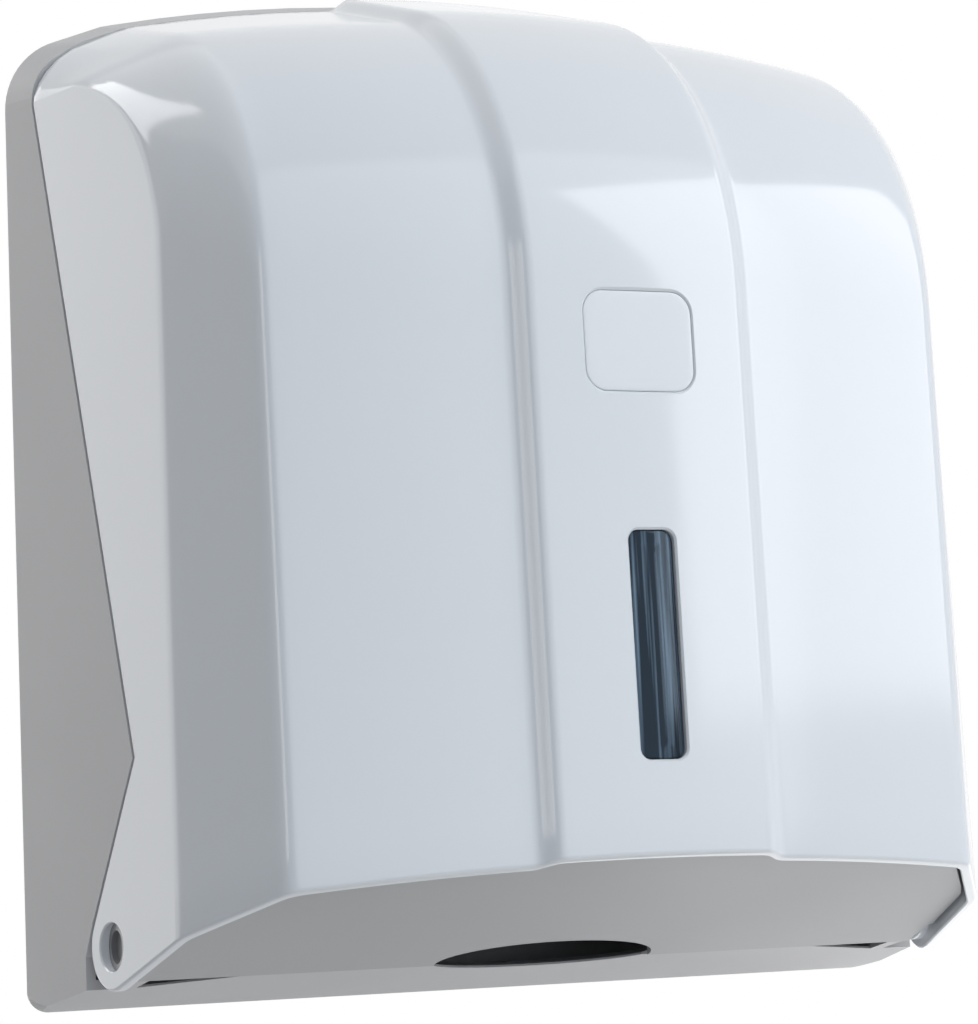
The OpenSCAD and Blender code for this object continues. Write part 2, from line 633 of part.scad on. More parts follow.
// Hook cam: an arm to the right and a lobe that points forward from its end
module lock_cam() color(metal) at_wall() lock_frame() translate([0, 0, cam_floor]) difference() {
  linear_extrude(cam_t) {
    circle(cam_w / 2);
    translate([0, -cam_w / 2]) square([cam_len - cam_w / 2, cam_w]);
    translate([cam_len - cam_w / 2, 0]) circle(cam_w / 2);
    translate([cam_len - cam_w, -lobe_len + cam_w / 2]) square([cam_w, lobe_len - cam_w / 2]);
    translate([cam_len - cam_w / 2, -lobe_len + cam_w / 2]) circle(cam_w / 2);
  }
  translate([0, 0, -1]) cylinder(h = cam_t + 2, r = plug_end_r + fit_gap);
}
module cam_screw() color(metal) at_wall() lock_frame() translate([0, 0, cam_floor]) {
  translate([0, 0, -1.2 - fit_gap]) cylinder(h = 1.2, r = cam_w / 2 - 0.3);
  translate([0, 0, -fit_gap - 0.5]) cylinder(h = cam_screw_len, r = cam_screw_r);
}

back_shell();
towel_tray();
tray_screw_left();
tray_screw_right();
hinge_pin_left();
hinge_pin_right();
front_cover();
window_lens();
blank_badge();
lock_barrel();
lock_nut();
lock_plug();
stop_washer();
lock_cam();
cam_screw();
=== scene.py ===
# %% [markdown]
# # A folded towel dispenser, dressed on its frame
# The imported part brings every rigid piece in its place: shell, tray, pins, cover, lens, badge
# and lock. This lesson keeps that frame and rebuilds the pieces whose gloss or rounded edges
# show, then gives every piece its plastic or metal. Lengths are in millimetres until they are
# placed.

# %% Load the frame
import math

import bmesh
import bpy
from mathutils import Matrix, Vector
from mathutils.geometry import tessellate_polygon


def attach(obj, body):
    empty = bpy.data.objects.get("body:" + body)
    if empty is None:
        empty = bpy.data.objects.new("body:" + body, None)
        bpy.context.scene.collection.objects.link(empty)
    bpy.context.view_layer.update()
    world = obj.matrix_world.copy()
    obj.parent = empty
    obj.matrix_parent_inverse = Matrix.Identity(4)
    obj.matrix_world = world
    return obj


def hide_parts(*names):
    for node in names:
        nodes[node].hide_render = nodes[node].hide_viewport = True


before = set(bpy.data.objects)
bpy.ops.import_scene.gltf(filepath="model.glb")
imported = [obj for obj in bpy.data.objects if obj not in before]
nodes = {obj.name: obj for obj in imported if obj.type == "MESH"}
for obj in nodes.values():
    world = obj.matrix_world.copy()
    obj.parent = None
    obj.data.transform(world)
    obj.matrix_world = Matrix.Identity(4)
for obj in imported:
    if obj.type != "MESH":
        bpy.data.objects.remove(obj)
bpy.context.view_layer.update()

print("nodes:", ", ".join(sorted(nodes)))

# %% [markdown]
# ## The camera
# The picture was taken with a long lens from the lower left, tipped a little. The camera was
# solved from the dispenser's straight edges, so it is set by azimuth, elevation, roll and
# distance, and the lens follows from the focal length in pixels of the 978 by 1024 frame.
# Azimuth 0 is straight in front and grows to the right, for the camera as for the lamps further
# down.

# %% Camera
PHOTO_H, FOCAL_PX = 1024, 3597
AZIMUTH, ELEVATION, ROLL = (math.radians(a) for a in (-25.1, -7.5, -3.2))
LOOK_AT = Vector((-0.0136, -0.060, -0.0195))
DISTANCE = 0.9966


def direction(azimuth, elevation):
    return Vector((math.sin(azimuth) * math.cos(elevation),
                   -math.cos(azimuth) * math.cos(elevation), math.sin(elevation)))


back = direction(AZIMUTH, ELEVATION)
level = Vector((math.cos(AZIMUTH), math.sin(AZIMUTH), 0))
upright = back.cross(level)
across = level * math.cos(ROLL) + upright * math.sin(ROLL)
above = upright * math.cos(ROLL) - level * math.sin(ROLL)
turn = Matrix((across, above, back)).transposed().to_4x4()
turn.translation = LOOK_AT + back * DISTANCE

lens = bpy.data.cameras.new("photo_camera")
lens.sensor_width = 36
lens.lens = FOCAL_PX / PHOTO_H * lens.sensor_width
lens.clip_start = 0.01
camera = bpy.data.objects.new("photo_camera", lens)
camera.matrix_world = turn
bpy.context.scene.collection.objects.link(camera)
bpy.context.scene.camera = camera
print("camera at", [round(v, 3) for v in camera.location], "lens", round(lens.lens, 1), "mm")

# %% [markdown]
# ## Bench sizes and the side panels
# Sizes are written as on a bench: across, depth from the wall, and height over the rear bottom
# edge. `place` turns them into the part's metres, whose origin is the centre of the wall
# screws. The flat side panels taper towards the front and lean in towards the top, which
# `plan_x` puts in one line. All numbers are the part's own, so the new cover lies on the
# frame's cover, apart from its softer edges.

# %% Placing and the side panels
MOUNT_H = 150
BODY_W, SIDE_TAPER, SIDE_LEAN = 266, math.radians(9), math.radians(0.8)


def place(p):
    return Vector((p[0], -p[1], p[2] - MOUNT_H)) / 1000


def plan_x(d, z):
    return BODY_W / 2 - d * math.tan(SIDE_TAPER) - z * math.tan(SIDE_LEAN)


def on_side(d, z, inset):
    return Vector((plan_x(d, z) - inset / math.cos(SIDE_TAPER), d, z))


def mirrored(points):
    return [Vector((-p.x, p.y, p.z)) for p in points]


print("half width at the wall and 100 mm out:", [round(plan_x(d, 0), 1) for d in (0, 100)])

# %% [markdown]
# ## The side-view section
# Seen from the side, the cover is a straight front, one large arc and a sloped top. Four
# numbers say it all: front depth, arc radius, height at the wall and slope of the top in
# degrees. They are given in the middle, at the shoulder and at the side panel, and the bow
# blends the first two as a parabola. The lower rim is a straight line that touches the round
# ear at the pivot pin.

# %% Sections from the rim to the top
SHOULDER_X = 100
MID = (126.6, 91, 290.8, 19)
SHOULDER = (114, 86, 279.5, 17)
SIDE = (86.5, 56, 261.5, 12)
PIVOT, EAR_R = (49.3, 16), 11.5
RIM_RISE = math.radians(19)
RIM_TOUCH = (PIVOT[0] + EAR_R * math.sin(RIM_RISE), PIVOT[1] - EAR_R * math.cos(RIM_RISE))


def bow_section(x):
    u = (x / SHOULDER_X) ** 2
    return tuple(a + (b - a) * u for a, b in zip(MID, SHOULDER))


def centre_of(section):
    front, r, h, slope = section
    s = math.radians(slope)
    c = front - r
    return c, h - r * math.cos(s) - math.tan(s) * (c + r * math.sin(s))


def top_at(section, lift, d):
    c, zc = centre_of(section)
    s, r = math.radians(section[3]), section[1] + lift
    return zc + r * math.cos(s) + math.tan(s) * (c + r * math.sin(s) - d)


def rim_at(d):
    return RIM_TOUCH[1] + (d - RIM_TOUCH[0]) * math.tan(RIM_RISE)


print("rim under the front:", round(rim_at(MID[0]), 1), "high, top at the wall:", MID[2])

# %% [markdown]
# ## The raised middle panel
# A panel with sloped steps runs up the front and over the top. It is a lift of the same skin: a
# flat middle and a straight ramp at each side. A real moulding has rounded steps, so the ramp
# is averaged over a small width, which rounds its upper and lower edge without a bevel.

# %% Lift of the panel
PANEL_HALF, PANEL_STEP, PANEL_H = 30.5, 5, 3.5
STEP_ROUND = 1.6


def ramp_area(x):
    low, high = PANEL_HALF, PANEL_HALF + PANEL_STEP
    if x <= low:
        return PANEL_H * x
    part = min(x, high) - low
    return PANEL_H * (low + part - part * part / (2 * PANEL_STEP))


def panel_lift(x):
    return (ramp_area(abs(x) + STEP_ROUND) - ramp_area(abs(x) - STEP_ROUND)) / (2 * STEP_ROUND)


print("lift across the step:", [round(panel_lift(x), 2) for x in (0, 30, 32, 34, 36, 38)])

# %% [markdown]
# ## Columns of the skin
# A gloss surface shows every facet, so the cover is not taken from the frame's solid but woven
# anew from columns that run from the lower rim up the front and round the top. `inset` moves
# the skin in and `trim` shortens its edges, so the same functions give the outer skin, the
# inner skin and the small steps of the rounded rim between them.

# %% Columns of the bow and of the side
WALL_ROWS, ARC_ROWS = 14, 30
BOW_ANGLE = math.atan(2 * (MID[0] - SHOULDER[0]) / SHOULDER_X)
CHAMFER_ANGLE = math.atan2(SHOULDER[0] - SIDE[0], plan_x(SIDE[0], 0) - SHOULDER_X)
SIDE_ANGLE = math.pi / 2 - SIDE_TAPER


def corner_shift(a, b, inset, part):
    return inset * (part(a) + part(b)) / (1 + math.cos(b - a))


def profile(section, lift, trim, pulled=0):
    c, zc = centre_of(section)
    r = section[1] + lift
    front = c + r - pulled
    foot = rim_at(front) + trim / math.cos(RIM_RISE)
    wall = [(front, foot + (zc - foot) * k / WALL_ROWS) for k in range(WALL_ROWS)]
    turns = [math.radians(90 - section[3]) * k / ARC_ROWS for k in range(ARC_ROWS + 1)]
    return wall + [(c + (r - pulled) * math.cos(a), zc + r * math.sin(a)) for a in turns]


def bow_column(x, inset, trim):
    lift = panel_lift(x) - inset * math.hypot(1, x / SHOULDER_X * math.tan(BOW_ANGLE))
    section = bow_section(x)
    points = [Vector((x, d, z)) for d, z in profile(section, lift, trim)]
    return points, Vector((x, 0, top_at(section, lift, 0)))


def side_column(inset, pull, trim):
    pulled = corner_shift(CHAMFER_ANGLE, SIDE_ANGLE, inset, math.cos) - inset
    return [on_side(d, z, inset) for d, z in profile(SIDE, -inset - pull, trim, pulled)]


print("chamfer at", round(math.degrees(CHAMFER_ANGLE), 1), "degrees")

# %% [markdown]
# ## Soft shoulder and ridge
# Between the bow and the flat side panel lies a chamfer with a soft edge at each side. Each row
# turns over both edges with short curves. On the real cover the two edges are crisp up the
# front and fade out round the top corner, so `corner_fade` widens the curves there.

# %% A row over the chamfer
SHOULDER_SOFT, SHOULDER_FADE, SHOULDER_STEPS = 3.5, 6, 9
RIDGE_SOFT, RIDGE_FADE, RIDGE_STEPS = 2.5, 13, 6
CHAMFER_STEPS = 5
FADE_SHARE = 0.45


def soft(a, b, c, q):
    return a * (1 - q) ** 2 + b * (2 * q * (1 - q)) + c * q ** 2


def corner_fade(row):
    a = min(max((row - WALL_ROWS) / (FADE_SHARE * ARC_ROWS), 0), 1)
    return a * a * (3 - 2 * a)


def turned_row(row, before, shoulder, ridge, beyond):
    over = (ridge - shoulder).normalized()
    leave = shoulder + over * (SHOULDER_SOFT + SHOULDER_FADE * corner_fade(row))
    reach = ridge - over * (RIDGE_SOFT + RIDGE_FADE * corner_fade(row))
    first = [q / SHOULDER_STEPS for q in range(1, SHOULDER_STEPS + 1)]
    second = [q / CHAMFER_STEPS for q in range(1, CHAMFER_STEPS)]
    third = [q / RIDGE_STEPS for q in range(RIDGE_STEPS + 1)]
    return ([soft(before, shoulder, leave, q) for q in first]
            + [leave.lerp(reach, q) for q in second]
            + [soft(reach, ridge, beyond, q) for q in third])


print("points in a row over the chamfer:", SHOULDER_STEPS + CHAMFER_STEPS + RIDGE_STEPS)

# %% [markdown]
# ## The rear corner
# Seen from the front, the outline at the wall is a bowed top with a round corner on each side.
# The columns over the chamfer have to spread round that corner, so it is written as one line of
# points, from the bow over the shoulder and round the arc, and `along` finds the point at a
# share of its length.

# %% The corner at the wall
CORNER_R, CORNER_H = 23, 275.5
REAR_LEAD_STEPS, REAR_ARC_STEPS = 8, 24


def rear_corner(start, shoulder, inset):
    mid_z = CORNER_H - CORNER_R
    mid = Vector((plan_x(0, mid_z) - CORNER_R, 0, mid_z))
    r = CORNER_R - inset
    away = shoulder - mid
    first = math.atan2(away.z, away.x) - math.acos(r / away.length)
    turns = [first * (1 - k / REAR_ARC_STEPS) for k in range(REAR_ARC_STEPS + 1)]
    arc = [mid + Vector((math.cos(a), 0, math.sin(a))) * r for a in turns]
    lead = shoulder + (arc[0] - shoulder).normalized() * SHOULDER_SOFT
    shares = [k / REAR_LEAD_STEPS for k in range(REAR_LEAD_STEPS + 1)]
    return [soft(start, shoulder, lead, q) for q in shares] + arc


def along(line, share):
    lengths = [(b - a).length for a, b in zip(line, line[1:])]
    left = share * sum(lengths)
    for a, b, length in zip(line, line[1:], lengths):
        if left <= length:
            return a.lerp(b, left / length)
        left -= length
    return line[-1]


print("corner of", CORNER_R, "mm radius in", REAR_ARC_STEPS, "steps")

# %% [markdown]
# ## Half a skin
# Past the arc the columns run straight back towards the outline at the wall and stop at the rim
# on the shell. They stand close together where the surface turns, at the panel's step and over
# the chamfer, and wide apart where it is calm. Half a skin is enough, because the cover is
# symmetric.

# %% Half a skin
TOP_ROWS, RIM_D = 8, 17
PANEL_STATIONS = [0, 6, 12, 18, 24, 27]
STEP_STATIONS = [28.8 + 0.56 * k for k in range(16)]
BOW_START, BOW_STEPS = 39, 10


def run_back(points, rear, end_d):
    last = points[-1]
    rows = []
    for k in range(1, TOP_ROWS + 1):
        d = last.y + (end_d - last.y) * k / TOP_ROWS
        rows.append(last.lerp(rear, (last.y - d) / last.y))
    return points + rows


def half_columns(inset, trim):
    edge = SHOULDER_X - corner_shift(BOW_ANGLE, CHAMFER_ANGLE, inset, math.sin)
    bow_end = edge - SHOULDER_SOFT
    stations = PANEL_STATIONS + STEP_STATIONS
    stations += [BOW_START + (bow_end - BOW_START) * k / BOW_STEPS for k in range(BOW_STEPS + 1)]
    columns = [bow_column(x, inset, trim) for x in stations]
    before, start = columns[-1]
    shoulder, shoulder_rear = bow_column(edge, inset, trim)
    ridge, beyond = side_column(inset, 0, trim), side_column(inset, RIDGE_SOFT, trim)
    edges = zip(before, shoulder, ridge, beyond)
    turned = list(zip(*[turned_row(row, *points) for row, points in enumerate(edges)]))

    rear = rear_corner(start, shoulder_rear, inset)
    crest = [before[-1]] + [c[-1] for c in turned]
    steps = [(b - a).length for a, b in zip(crest, crest[1:])]
    for k, column in enumerate(turned):
        columns.append((list(column), along(rear, sum(steps[:k + 1]) / sum(steps))))
    rows = [run_back(points, end, RIM_D + trim) for points, end in columns]
    for p in rows[-1]:
        p.x = on_side(p.y, p.z, inset).x
    return rows


print("columns in half a skin:", len(half_columns(0, 0)), "rows:", len(half_columns(0, 0)[0]))

# %% [markdown]
# ## Outlines of the rim, the ear and the bore
# The side panel's edge runs from the lower rim round the ear, up to a kink and on to the rim at
# the top. Together with the ends of all columns it makes one closed loop, the cover's rim. The
# bore for the pivot pin is a circle on the same flat panel.

# %% Rim and bore loops
KINK, RIM_Z = (64.4, 64.5), 250.3
BORE_R = 6.38
EAR_STEPS, BORE_STEPS = 28, 48
UNDER_SKIN = 0.05


def whole_skin(inset, trim):
    right = half_columns(inset, trim)
    return [mirrored(c) for c in right[:0:-1]] + right


def side_edge(inset, trim, top):
    r = EAR_R - trim
    slant = math.atan2(KINK[0] - RIM_D, RIM_Z - KINK[1])
    kink = (KINK[0] + trim / math.cos(slant), KINK[1])
    away = (kink[0] - PIVOT[0], kink[1] - PIVOT[1])
    first = RIM_RISE - math.pi / 2
    last = math.atan2(away[1], away[0]) + math.acos(r / math.hypot(*away)) - 2 * math.pi
    turns = [first + (last - first) * k / EAR_STEPS for k in range(EAR_STEPS + 1)]
    edge = [(PIVOT[0] + r * math.cos(a), PIVOT[1] + r * math.sin(a)) for a in turns]
    edge += [kink, (RIM_D + trim, min(RIM_Z, top.z - UNDER_SKIN))]
    return [on_side(d, z, inset) for d, z in edge]


def rim_loop(inset, trim):
    skin = whole_skin(inset, trim)
    right = side_edge(inset, trim, skin[-1][-1])
    return [c[0] for c in skin] + right + [c[-1] for c in skin[::-1]] + mirrored(right)[::-1]


def bore_loop(r, inset):
    turns = [2 * math.pi * k / BORE_STEPS for k in range(BORE_STEPS)]
    return [on_side(PIVOT[0] + r * math.cos(a), PIVOT[1] + r * math.sin(a), inset) for a in turns]


print("points in the rim:", len(rim_loop(0, 0)), "and in a bore:", len(bore_loop(BORE_R, 0)))

# %% [markdown]
# ## A helper that weaves faces
# Every new piece here is written down face by face. Points that agree are welded, and faces
# that shrink to a line are left out, which keeps the meshes closed and free of stray faces. A
# chain of cuts and bevels would be shorter to write, but it leaves slivers that a gloss finish
# shows.

# %% Weave
SOFT_UP_TO = 32


class Weave:
    """Faces written down by their corner points, welded where the points agree."""

    def __init__(self):
        self.bm = bmesh.new()
        self.made = {}

    def corner(self, p):
        key = tuple(round(v, 4) for v in p)
        if key not in self.made:
            self.made[key] = self.bm.verts.new(place(p))
        return self.made[key]

    def face(self, points):
        corners = list(dict.fromkeys(self.corner(p) for p in points))
        if len(corners) > 2 and not self.bm.faces.get(corners):
            self.bm.faces.new(corners)

    def strip(self, a, b, closed=True):
        for k in range(len(a) if closed else len(a) - 1):
            n = (k + 1) % len(a)
            self.face((a[k], a[n], b[n], b[k]))

    def done(self, name, sharp=SOFT_UP_TO):
        bmesh.ops.recalc_face_normals(self.bm, faces=self.bm.faces)
        mesh = bpy.data.meshes.new(name)
        self.bm.to_mesh(mesh)
        self.bm.free()
        mesh.shade_smooth()
        mesh.set_sharp_from_angle(angle=math.radians(sharp))
        piece = bpy.data.objects.new(name, mesh)
        bpy.context.scene.collection.objects.link(piece)
        return piece


print("edges up to", SOFT_UP_TO, "degrees are shaded soft")

# %% [markdown]
# ## Weaving the cover
# A moulded cover is a wall of even thickness, so the inner skin is the same net moved in by the
# wall, and a strip of small steps rounds the rim between the two. The side panels are flat:
# each is one outline with the ear's arc and the pin's bore in it, filled in one go.

# %% The swinging cover
WALL = 3
RIM_ROUND, BORE_EDGE = 0.8, 0.35


def weave_skin(weave, inset, trim, bore_r):
    skin = whole_skin(inset, trim)
    for a, b in zip(skin, skin[1:]):
        weave.strip(a, b, closed=False)
    outline = skin[-1] + side_edge(inset, trim, skin[-1][-1])[::-1]
    bore = bore_loop(bore_r, inset)
    flat = [[Vector((p.y, p.z, 0)) for p in loop] for loop in (outline, bore)]
    for corners in tessellate_polygon(flat):
        triangle = [(outline + bore)[k] for k in corners]
        weave.face(triangle)
        weave.face(mirrored(triangle))


cover_weave = Weave()
weave_skin(cover_weave, 0, RIM_ROUND, BORE_R + BORE_EDGE)
weave_skin(cover_weave, WALL, RIM_ROUND / 2, BORE_R)
rim = [(RIM_ROUND * (1 - math.cos(a)), RIM_ROUND * (1 - math.sin(a)))
       for a in (0, math.pi / 6, math.pi / 3, math.pi / 2)]
rim += [(WALL - RIM_ROUND / 2, 0), (WALL, RIM_ROUND / 2)]
loops = [rim_loop(inset, trim) for inset, trim in rim]
for a, b in zip(loops, loops[1:]):
    cover_weave.strip(a, b)
bores = [bore_loop(BORE_R + BORE_EDGE, 0), bore_loop(BORE_R, BORE_EDGE), bore_loop(BORE_R, WALL)]
for a, b in zip(bores, bores[1:]):
    cover_weave.strip(a, b)
    cover_weave.strip(mirrored(a), mirrored(b))
cover = cover_weave.done("swing_cover")
print("cover woven:", len(cover.data.polygons), "faces")

# %% [markdown]
# ## Bosses and catch fin
# Inside each ear a round boss makes the pin's bore longer, and a hooked fin under the top takes
# the lock's cam. They are moulded on the cover. Here they are closed bodies of their own that
# stand in its wall, because that leaves the woven skin as it is.

# %% Bosses and catch fin
BOSS_R, BOSS_REACH, BOSS_EDGE = 8.9, 1.5, 0.4
BOSS_SINK, BORE_LEAD = 0.3, 0.3
CATCH_X = (-14, -10)
CATCH = ((17.0, 286.6), (17.0, 271.2), (20.4, 271.2), (20.4, 277.2), (30.4, 282.0))


def weave_boss(weave, side):
    wall_x = plan_x(PIVOT[0] + EAR_R, PIVOT[1] + EAR_R) - WALL / math.cos(SIDE_TAPER)
    end_x = wall_x - BOSS_REACH
    rings = []
    for r, x in ((BOSS_R, None), (BOSS_R, end_x + BOSS_EDGE), (BOSS_R - BOSS_EDGE, end_x),
                 (BORE_R + BORE_LEAD, end_x), (BORE_R, end_x + BORE_LEAD), (BORE_R, None)):
        ring = bore_loop(r, WALL - BOSS_SINK)
        if x:
            ring = [Vector((x, p.y, p.z)) for p in ring]
        rings.append(side(ring))
    for a, b in zip(rings, rings[1:] + rings[:1]):
        weave.strip(a, b)


boss_weave = Weave()
weave_boss(boss_weave, list)
weave_boss(boss_weave, mirrored)
ends = [[Vector((x, d, z)) for d, z in CATCH] for x in CATCH_X]
boss_weave.strip(*ends)
for end in ends:
    boss_weave.face(end)
inside = boss_weave.done("cover_bosses")
print("bosses and catch:", len(inside.data.polygons), "faces")

# %% [markdown]
# ## Rounded rectangles, stacked and carved
# The level window, the badge place, the lens and the badge are all rounded rectangles that
# change a little with depth. `ring_at` gives one ring, `stacked` closes a pile of rings into a
# body, and `carve` takes such a body out of a piece. A cut suits the two openings, because they
# are small, lie on the almost flat panel and don't disturb the net elsewhere.

# %% Rings and cuts
QUARTER_STEPS = 8
LEAST_R = 0.05


def ring_at(shape, d, grow=0):
    w, h, r, mid_z = shape
    w, h, r = w + 2 * grow, h + 2 * grow, max(r + grow, LEAST_R)
    points = []
    for quarter, (sx, sz) in enumerate(((1, 1), (-1, 1), (-1, -1), (1, -1))):
        for k in range(QUARTER_STEPS + 1):
            a = math.pi / 2 * (quarter + k / QUARTER_STEPS)
            points.append(Vector((sx * (w / 2 - r) + r * math.cos(a), d,
                                  mid_z + sz * (h / 2 - r) + r * math.sin(a))))
    return points


def stacked(name, loops, sharp=SOFT_UP_TO):
    weave = Weave()
    for a, b in zip(loops, loops[1:]):
        weave.strip(a, b)
    weave.face(loops[0])
    weave.face(loops[-1])
    return weave.done(name, sharp)


def carve(piece, cutter):
    cut = piece.modifiers.new("carve", "BOOLEAN")
    cut.operation, cut.solver, cut.object = "DIFFERENCE", "EXACT", cutter
    depsgraph = bpy.context.evaluated_depsgraph_get()
    mesh = bpy.data.meshes.new_from_object(piece.evaluated_get(depsgraph))
    piece.modifiers.clear()
    piece.data = mesh
    bpy.data.objects.remove(cutter)


print("points in a ring:", 4 * (QUARTER_STEPS + 1))

# %% [markdown]
# ## Window and badge place
# Both openings flare at the surface, which leaves the small chamfer of a moulded edge. The
# window is wider behind the panel, where the lens's flange sits. Smooth shading would then
# bleed round the edge of the flat side panels and draw triangles on them, so `hold_flats` marks
# the edges of flat faces.

# %% Cut the window and the badge place
PANEL_D = MID[0] + PANEL_H
WINDOW = (13.5, 60, 3, 86)
BADGE = (32, 27, 6, 166)
LENS_SEAT_D = PANEL_D - WALL + 0.3
SEAT_GROW, SEAT_DEPTH = 3.15, 12
BADGE_SEAT = 1.4
WINDOW_FLARE, BADGE_FLARE, CUT_OVER = 0.6, 0.75, 0.6
FLAT_COS = math.cos(math.radians(0.6))


def side_normal(face):
    out = math.copysign(1, face.calc_center_median().x)
    return Vector((out, -math.tan(SIDE_TAPER), math.tan(SIDE_LEAN))).normalized()


def hold_flats(piece, is_flat):
    bm = bmesh.new()
    bm.from_mesh(piece.data)
    for edge in bm.edges:
        if len(edge.link_faces) == 2 and any(is_flat(f) for f in edge.link_faces):
            if edge.link_faces[0].normal.dot(edge.link_faces[1].normal) < FLAT_COS:
                edge.smooth = False
    bm.to_mesh(piece.data)
    bm.free()


carve(cover, stacked("window_cutter", [
    ring_at(WINDOW, LENS_SEAT_D - SEAT_DEPTH, SEAT_GROW),
    ring_at(WINDOW, LENS_SEAT_D, SEAT_GROW),
    ring_at(WINDOW, LENS_SEAT_D),
    ring_at(WINDOW, PANEL_D - WINDOW_FLARE),
    ring_at(WINDOW, PANEL_D + CUT_OVER, WINDOW_FLARE + CUT_OVER)]))
carve(cover, stacked("badge_cutter", [
    ring_at(BADGE, PANEL_D - BADGE_SEAT),
    ring_at(BADGE, PANEL_D - BADGE_FLARE),
    ring_at(BADGE, PANEL_D + CUT_OVER, BADGE_FLARE + CUT_OVER)]))
cover.data.shade_smooth()
cover.data.set_sharp_from_angle(angle=math.radians(SOFT_UP_TO))
hold_flats(cover, lambda face: abs(face.normal.dot(side_normal(face))) > FLAT_COS)
print("cover cut:", len(cover.data.polygons), "faces")

# %% [markdown]
# ## Lens
# The level window's lens sits in the opening from behind: a flange lies on the cover's inner
# face and a thin crowned front fills the opening, a little below the panel. It is a stack of
# rings, because every ring can have its own depth, and the front follows an arc across its
# width, as a drawn level lens does.

# %% Window lens
LENS_CLEAR, LENS_RECESS, LENS_CROWN = 0.15, 0.75, 0.9
FLANGE_GROW, FLANGE_BACK, SEAT_GAP = 2.9, 1.85, 0.05
FLANGE_EDGE_W, FLANGE_EDGE_D = 0.3, 0.2
LENS_SIDE_DROP = 0.25
LENS_RINGS = ((0.1, 0.1), (0.3, 0.02), (0.8, 0), (1.8, 0), (3, 0), (4.5, 0), (6, 0))
RING_SOFT_UP_TO = 40


def crowned(loop, half_w, crown):
    return [Vector((p.x, p.y - crown * (p.x / half_w) ** 2, p.z)) for p in loop]


lens_front = PANEL_D - LENS_RECESS
lens_half = WINDOW[0] / 2 - LENS_CLEAR
lens_loops = [ring_at(WINDOW, LENS_SEAT_D - FLANGE_BACK, FLANGE_GROW - FLANGE_EDGE_W),
              ring_at(WINDOW, LENS_SEAT_D - FLANGE_BACK + FLANGE_EDGE_D, FLANGE_GROW),
              ring_at(WINDOW, LENS_SEAT_D - SEAT_GAP, FLANGE_GROW),
              ring_at(WINDOW, LENS_SEAT_D - SEAT_GAP, -LENS_CLEAR),
              ring_at(WINDOW, lens_front - LENS_CROWN - LENS_SIDE_DROP, -LENS_CLEAR)]
for step_in, drop in LENS_RINGS:
    shrunk = ring_at(WINDOW, lens_front - drop, -LENS_CLEAR - step_in)
    lens_loops.append(crowned(shrunk, lens_half, LENS_CROWN))
level_lens = stacked("level_lens", lens_loops, RING_SOFT_UP_TO)
print("lens front at", round(lens_front, 2), "in a panel at", round(PANEL_D, 2))

# %% [markdown]
# ## Badge
# The badge place holds a plain plate with a rounded edge, sunk a little below the panel and
# bare on purpose. It is a stack of rings as well, whose last ones fall by hundredths of a
# millimetre, so that its face is ever so slightly domed and catches the light softly.

# %% Bare badge
BADGE_T, BADGE_CLEAR, BADGE_GAP, BADGE_EDGE = 0.8, 0.15, 0.02, 0.3
BADGE_RINGS = ((0.2, 0.16), (0.35, 0.06), (0.6, 0.02), (1.6, 0.01), (4, 0), (8, 0))

badge_front = PANEL_D - BADGE_SEAT + BADGE_T
badge_loops = [ring_at(BADGE, PANEL_D - BADGE_SEAT + BADGE_GAP, -BADGE_CLEAR),
               ring_at(BADGE, badge_front - BADGE_EDGE, -BADGE_CLEAR)]
for step_in, drop in BADGE_RINGS:
    badge_loops.append(ring_at(BADGE, badge_front - drop, -step_in))
bare_badge = stacked("bare_badge", badge_loops, RING_SOFT_UP_TO)
print("badge front at", round(badge_front, 2), "in a panel at", round(PANEL_D, 2))

# %% [markdown]
# ## Shell, tray and pins
# The grey shell, the tray and the two pivot pins have the right shape in the frame already.
# They get copies of their own mesh, welded and shaded smooth up to a small angle, so that the
# facets of the rim, the oval outlet and the pins melt together while every real edge stays
# crisp. The shell's large flat faces are held flat like the cover's side panels.

# %% Smooth copies of shell, tray and pins
WELD_M, FLAT_ANGLE = 2e-6, math.radians(0.05)
SHELL_SOFT_UP_TO, PIN_SOFT_UP_TO = 14, 25
LARGE_FACE_M2 = 3e-4


def smooth_copy(node, name, sharp):
    mesh = nodes[node].data.copy()
    bm = bmesh.new()
    bm.from_mesh(mesh)
    bmesh.ops.remove_doubles(bm, verts=bm.verts, dist=WELD_M)
    bmesh.ops.dissolve_limit(bm, angle_limit=FLAT_ANGLE, verts=bm.verts, edges=bm.edges)
    bm.to_mesh(mesh)
    bm.free()
    mesh.shade_smooth()
    mesh.set_sharp_from_angle(angle=math.radians(sharp))
    piece = bpy.data.objects.new(name, mesh)
    piece.matrix_world = nodes[node].matrix_world
    bpy.context.scene.collection.objects.link(piece)
    return piece


rear_shell = smooth_copy("back_shell", "rear_shell", SHELL_SOFT_UP_TO)
hold_flats(rear_shell, lambda face: face.calc_area() > LARGE_FACE_M2)
sloped_tray = smooth_copy("towel_tray", "sloped_tray", SHELL_SOFT_UP_TO)
pins = {"hinge_pin_left": smooth_copy("hinge_pin_left", "pivot_pin_left", PIN_SOFT_UP_TO),
        "hinge_pin_right": smooth_copy("hinge_pin_right", "pivot_pin_right", PIN_SOFT_UP_TO)}
for piece in (rear_shell, sloped_tray, *pins.values()):
    print(piece.name, "has", len(piece.data.polygons), "faces")

# %% [markdown]
# ## Nodes for a finish
# Each finish is one shader with a few textures in front of it. These helpers add a noise, a
# blend of two colours and a spread of one number, so that the finishes below read as short
# recipes.

# %% Node helpers
def new_finish(name):
    material = bpy.data.materials.new(name)
    material.use_nodes = True
    return material, material.node_tree, material.node_tree.nodes["Principled BSDF"]


